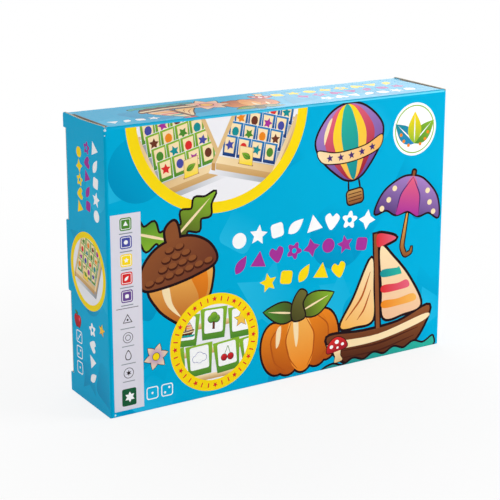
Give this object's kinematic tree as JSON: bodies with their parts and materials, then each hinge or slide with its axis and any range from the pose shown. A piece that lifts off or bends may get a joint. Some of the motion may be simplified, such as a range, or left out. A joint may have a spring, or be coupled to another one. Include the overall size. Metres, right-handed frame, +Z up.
{
  "type": "flip-up picture guessing game in a tuck-end carton",
  "caption": "Upright printed tuck-end carton with opening ends; inside, wooden frames on which rows of picture holders flip up and down on rods.",
  "frame": {"origin": "middle of the base, on the surface that the carton stands on", "axes": "+X along the carton's width to the right as seen from its front, -Y out of its front face, +Z up"},
  "size_m": [0.34, 0.077, 0.2428],
  "materials": {
    "printed_board": "glossy printed laminate on fine fluted board",
    "flap_board": "unprinted white-lined board",
    "rail_wood": "sanded pine, unlacquered",
    "rod_wood": "smooth beech dowel",
    "green_plastic": "moulded, satin",
    "blue_plastic": "moulded, satin",
    "card_board": "printed card, satin",
    "leaflet_paper": "folded paper"
  },
  "bodies": {
    "carton": {"sleeve": "printed_board", "green_rail_outer": "rail_wood", "green_rail_inner": "rail_wood", "green_front_rail": "rail_wood", "green_back_rail": "rail_wood", "green_rods": "rod_wood", "blue_rail_outer": "rail_wood", "blue_rail_inner": "rail_wood", "blue_front_rail": "rail_wood", "blue_back_rail": "rail_wood", "blue_rods": "rod_wood", "picture_cards": "card_board", "blank_cards": "card_board", "leaflet": "leaflet_paper"},
    "end_left": {"end_panel_left": "printed_board"},
    "tuck_left": {"tuck_flap_left": "flap_board"},
    "dust_left_top": {"dust_flap_left_top": "flap_board"},
    "dust_left_bottom": {"dust_flap_left_bottom": "flap_board"},
    "end_right": {"end_panel_right": "printed_board"},
    "tuck_right": {"tuck_flap_right": "flap_board"},
    "dust_right_top": {"dust_flap_right_top": "flap_board"},
    "dust_right_bottom": {"dust_flap_right_bottom": "flap_board"},
    "blue_r1c1": {"blue_holder_r1c1": "blue_plastic"},
    "blue_r1c2": {"blue_holder_r1c2": "blue_plastic"},
    "blue_r1c3": {"blue_holder_r1c3": "blue_plastic"},
    "blue_r1c4": {"blue_holder_r1c4": "blue_plastic"},
    "blue_r2c1": {"blue_holder_r2c1": "blue_plastic"},
    "blue_r2c2": {"blue_holder_r2c2": "blue_plastic"},
    "blue_r2c3": {"blue_holder_r2c3": "blue_plastic"},
    "blue_r2c4": {"blue_holder_r2c4": "blue_plastic"},
    "blue_r3c1": {"blue_holder_r3c1": "blue_plastic"},
    "blue_r3c2": {"blue_holder_r3c2": "blue_plastic"},
    "blue_r3c3": {"blue_holder_r3c3": "blue_plastic"},
    "blue_r3c4": {"blue_holder_r3c4": "blue_plastic"},
    "blue_r4c1": {"blue_holder_r4c1": "blue_plastic"},
    "blue_r4c2": {"blue_holder_r4c2": "blue_plastic"},
    "blue_r4c3": {"blue_holder_r4c3": "blue_plastic"},
    "blue_r4c4": {"blue_holder_r4c4": "blue_plastic"},
    "green_r1c1": {"green_holder_r1c1": "green_plastic"},
    "green_r1c2": {"green_holder_r1c2": "green_plastic"},
    "green_r1c3": {"green_holder_r1c3": "green_plastic"},
    "green_r1c4": {"green_holder_r1c4": "green_plastic"},
    "green_r2c1": {"green_holder_r2c1": "green_plastic"},
    "green_r2c2": {"green_holder_r2c2": "green_plastic"},
    "green_r2c3": {"green_holder_r2c3": "green_plastic"},
    "green_r2c4": {"green_holder_r2c4": "green_plastic"},
    "green_r3c1": {"green_holder_r3c1": "green_plastic"},
    "green_r3c2": {"green_holder_r3c2": "green_plastic"},
    "green_r3c3": {"green_holder_r3c3": "green_plastic"},
    "green_r3c4": {"green_holder_r3c4": "green_plastic"},
    "green_r4c1": {"green_holder_r4c1": "green_plastic"},
    "green_r4c2": {"green_holder_r4c2": "green_plastic"},
    "green_r4c3": {"green_holder_r4c3": "green_plastic"},
    "green_r4c4": {"green_holder_r4c4": "green_plastic"}
  },
  "joints": [
    {"name": "end_left_open", "type": "hinge", "parent": "carton", "child": "end_left", "pos_m": [-0.17, -0.0385, 0.121], "axis": [0, 0, 1], "range_deg": [0, 170]},
    {"name": "tuck_left_fold", "type": "hinge", "parent": "end_left", "child": "tuck_left", "pos_m": [-0.1685, 0.0335, 0.121], "axis": [0, 0, -1], "range_deg": [0, 85]},
    {"name": "dust_left_top_fold", "type": "hinge", "parent": "carton", "child": "dust_left_top", "pos_m": [-0.1683, 0, 0.242], "axis": [0, 1, 0], "range_deg": [0, 85]},
    {"name": "dust_left_bottom_fold", "type": "hinge", "parent": "carton", "child": "dust_left_bottom", "pos_m": [-0.1683, 0, 0], "axis": [0, -1, 0], "range_deg": [0, 85]},
    {"name": "end_right_open", "type": "hinge", "parent": "carton", "child": "end_right", "pos_m": [0.17, -0.0385, 0.121], "axis": [0, 0, -1], "range_deg": [0, 170]},
    {"name": "tuck_right_fold", "type": "hinge", "parent": "end_right", "child": "tuck_right", "pos_m": [0.1685, 0.0335, 0.121], "axis": [0, 0, 1], "range_deg": [0, 85]},
    {"name": "dust_right_top_fold", "type": "hinge", "parent": "carton", "child": "dust_right_top", "pos_m": [0.1683, 0, 0.242], "axis": [0, -1, 0], "range_deg": [0, 85]},
    {"name": "dust_right_bottom_fold", "type": "hinge", "parent": "carton", "child": "dust_right_bottom", "pos_m": [0.1683, 0, 0], "axis": [0, 1, 0], "range_deg": [0, 85]},
    {"name": "flip_blue_r1c1", "type": "hinge", "parent": "carton", "child": "blue_r1c1", "pos_m": [0, 0.021, 0.0701], "axis": [-1, 0, 0], "range_deg": [0, 105]},
    {"name": "flip_blue_r1c2", "type": "hinge", "parent": "carton", "child": "blue_r1c2", "pos_m": [0, 0.021, 0.0701], "axis": [-1, 0, 0], "range_deg": [0, 105]},
    {"name": "flip_blue_r1c3", "type": "hinge", "parent": "carton", "child": "blue_r1c3", "pos_m": [0, 0.021, 0.0701], "axis": [-1, 0, 0], "range_deg": [0, 105]},
    {"name": "flip_blue_r1c4", "type": "hinge", "parent": "carton", "child": "blue_r1c4", "pos_m": [0, 0.021, 0.0701], "axis": [-1, 0, 0], "range_deg": [0, 105]},
    {"name": "flip_blue_r2c1", "type": "hinge", "parent": "carton", "child": "blue_r2c1", "pos_m": [0, 0.021, 0.1184], "axis": [-1, 0, 0], "range_deg": [0, 105]},
    {"name": "flip_blue_r2c2", "type": "hinge", "parent": "carton", "child": "blue_r2c2", "pos_m": [0, 0.021, 0.1184], "axis": [-1, 0, 0], "range_deg": [0, 105]},
    {"name": "flip_blue_r2c3", "type": "hinge", "parent": "carton", "child": "blue_r2c3", "pos_m": [0, 0.021, 0.1184], "axis": [-1, 0, 0], "range_deg": [0, 105]},
    {"name": "flip_blue_r2c4", "type": "hinge", "parent": "carton", "child": "blue_r2c4", "pos_m": [0, 0.021, 0.1184], "axis": [-1, 0, 0], "range_deg": [0, 105]},
    {"name": "flip_blue_r3c1", "type": "hinge", "parent": "carton", "child": "blue_r3c1", "pos_m": [0, 0.021, 0.1667], "axis": [-1, 0, 0], "range_deg": [0, 105]},
    {"name": "flip_blue_r3c2", "type": "hinge", "parent": "carton", "child": "blue_r3c2", "pos_m": [0, 0.021, 0.1667], "axis": [-1, 0, 0], "range_deg": [0, 105]},
    {"name": "flip_blue_r3c3", "type": "hinge", "parent": "carton", "child": "blue_r3c3", "pos_m": [0, 0.021, 0.1667], "axis": [-1, 0, 0], "range_deg": [0, 105]},
    {"name": "flip_blue_r3c4", "type": "hinge", "parent": "carton", "child": "blue_r3c4", "pos_m": [0, 0.021, 0.1667], "axis": [-1, 0, 0], "range_deg": [0, 105]},
    {"name": "flip_blue_r4c1", "type": "hinge", "parent": "carton", "child": "blue_r4c1", "pos_m": [0, 0.021, 0.215], "axis": [-1, 0, 0], "range_deg": [0, 105]},
    {"name": "flip_blue_r4c2", "type": "hinge", "parent": "carton", "child": "blue_r4c2", "pos_m": [0, 0.021, 0.215], "axis": [-1, 0, 0], "range_deg": [0, 105]},
    {"name": "flip_blue_r4c3", "type": "hinge", "parent": "carton", "child": "blue_r4c3", "pos_m": [0, 0.021, 0.215], "axis": [-1, 0, 0], "range_deg": [0, 105]},
    {"name": "flip_blue_r4c4", "type": "hinge", "parent": "carton", "child": "blue_r4c4", "pos_m": [0, 0.021, 0.215], "axis": [-1, 0, 0], "range_deg": [0, 105]},
    {"name": "flip_green_r1c1", "type": "hinge", "parent": "carton", "child": "green_r1c1", "pos_m": [0, 0.021, 0.0701], "axis": [-1, 0, 0], "range_deg": [0, 105]},
    {"name": "flip_green_r1c2", "type": "hinge", "parent": "carton", "child": "green_r1c2", "pos_m": [0, 0.021, 0.0701], "axis": [-1, 0, 0], "range_deg": [0, 105]},
    {"name": "flip_green_r1c3", "type": "hinge", "parent": "carton", "child": "green_r1c3", "pos_m": [0, 0.021, 0.0701], "axis": [-1, 0, 0], "range_deg": [0, 105]},
    {"name": "flip_green_r1c4", "type": "hinge", "parent": "carton", "child": "green_r1c4", "pos_m": [0, 0.021, 0.0701], "axis": [-1, 0, 0], "range_deg": [0, 105]},
    {"name": "flip_green_r2c1", "type": "hinge", "parent": "carton", "child": "green_r2c1", "pos_m": [0, 0.021, 0.1184], "axis": [-1, 0, 0], "range_deg": [0, 105]},
    {"name": "flip_green_r2c2", "type": "hinge", "parent": "carton", "child": "green_r2c2", "pos_m": [0, 0.021, 0.1184], "axis": [-1, 0, 0], "range_deg": [0, 105]},
    {"name": "flip_green_r2c3", "type": "hinge", "parent": "carton", "child": "green_r2c3", "pos_m": [0, 0.021, 0.1184], "axis": [-1, 0, 0], "range_deg": [0, 105]},
    {"name": "flip_green_r2c4", "type": "hinge", "parent": "carton", "child": "green_r2c4", "pos_m": [0, 0.021, 0.1184], "axis": [-1, 0, 0], "range_deg": [0, 105]},
    {"name": "flip_green_r3c1", "type": "hinge", "parent": "carton", "child": "green_r3c1", "pos_m": [0, 0.021, 0.1667], "axis": [-1, 0, 0], "range_deg": [0, 105]},
    {"name": "flip_green_r3c2", "type": "hinge", "parent": "carton", "child": "green_r3c2", "pos_m": [0, 0.021, 0.1667], "axis": [-1, 0, 0], "range_deg": [0, 105]},
    {"name": "flip_green_r3c3", "type": "hinge", "parent": "carton", "child": "green_r3c3", "pos_m": [0, 0.021, 0.1667], "axis": [-1, 0, 0], "range_deg": [0, 105]},
    {"name": "flip_green_r3c4", "type": "hinge", "parent": "carton", "child": "green_r3c4", "pos_m": [0, 0.021, 0.1667], "axis": [-1, 0, 0], "range_deg": [0, 105]},
    {"name": "flip_green_r4c1", "type": "hinge", "parent": "carton", "child": "green_r4c1", "pos_m": [0, 0.021, 0.215], "axis": [-1, 0, 0], "range_deg": [0, 105]},
    {"name": "flip_green_r4c2", "type": "hinge", "parent": "carton", "child": "green_r4c2", "pos_m": [0, 0.021, 0.215], "axis": [-1, 0, 0], "range_deg": [0, 105]},
    {"name": "flip_green_r4c3", "type": "hinge", "parent": "carton", "child": "green_r4c3", "pos_m": [0, 0.021, 0.215], "axis": [-1, 0, 0], "range_deg": [0, 105]},
    {"name": "flip_green_r4c4", "type": "hinge", "parent": "carton", "child": "green_r4c4", "pos_m": [0, 0.021, 0.215], "axis": [-1, 0, 0], "range_deg": [0, 105]}
  ],
  "couplings": [
    {"joint": "tuck_left_fold", "follows": "end_left_open", "ratio": 0.5},
    {"joint": "dust_left_top_fold", "follows": "end_left_open", "ratio": 0.5},
    {"joint": "dust_left_bottom_fold", "follows": "end_left_open", "ratio": 0.5},
    {"joint": "tuck_right_fold", "follows": "end_right_open", "ratio": 0.5},
    {"joint": "dust_right_top_fold", "follows": "end_right_open", "ratio": 0.5},
    {"joint": "dust_right_bottom_fold", "follows": "end_right_open", "ratio": 0.5}
  ]
}
